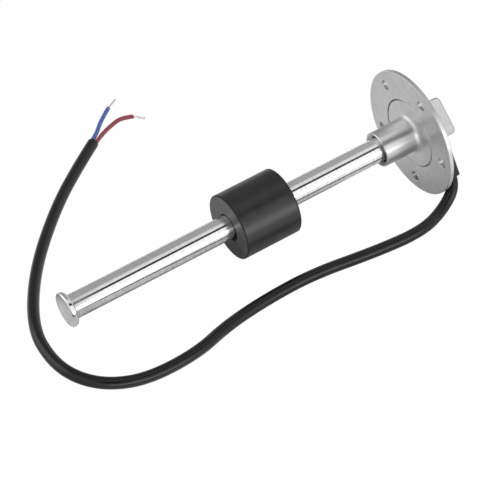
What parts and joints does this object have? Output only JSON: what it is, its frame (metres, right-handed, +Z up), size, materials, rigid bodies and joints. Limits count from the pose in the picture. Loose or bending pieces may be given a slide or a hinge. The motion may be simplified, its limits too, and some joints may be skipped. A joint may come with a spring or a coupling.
{
  "type": "tank level sensor",
  "caption": "Flanged tank level sensor with a potted head, a straight sensing tube, a sliding foam float, an end stop and a loose cable with bared cores.",
  "frame": {"origin": "on the floor, under the middle of the lying sensor's footprint, without its cable", "axes": "+Z up; +X along the lying tube, from the end cap towards the flange"},
  "size_m": [0.2414, 0.207, 0.0677],
  "materials": {
    "cast_steel": "bead-blasted matte",
    "turned_steel": "satin turned",
    "polished_steel": "polished",
    "foam": "matte closed-cell foam",
    "ferrite": "sintered",
    "board": "coated board",
    "reed_glass": "clear",
    "tinned_wire": "tinned",
    "chip_body": "matte",
    "seal_rubber": "matte",
    "boot_rubber": "matte moulded",
    "potting": "poured resin",
    "jacket": "satin",
    "blue_insulation": "satin",
    "red_insulation": "satin"
  },
  "bodies": {
    "sensor": {"flange_head": "cast_steel", "tube_collar": "turned_steel", "collar_seal": "seal_rubber", "sensor_tube": "polished_steel", "end_cap": "turned_steel", "circuit_strip": "board", "reed_switches": "reed_glass", "reed_leads": "tinned_wire", "strip_resistors": "chip_body", "cable_boot": "boot_rubber", "blue_lead": "blue_insulation", "red_lead": "red_insulation", "head_resin": "potting", "cable_jacket": "jacket", "blue_wire": "blue_insulation", "red_wire": "red_insulation", "blue_strands": "tinned_wire", "red_strands": "tinned_wire"},
    "float": {"float_body": "foam", "float_magnet": "ferrite"}
  },
  "joints": [
    {"name": "float_slide", "type": "slide", "parent": "sensor", "child": "float", "axis": [0.9924, 0, 0.1229], "range_m": [-0.08945, 0.05705]}
  ]
}
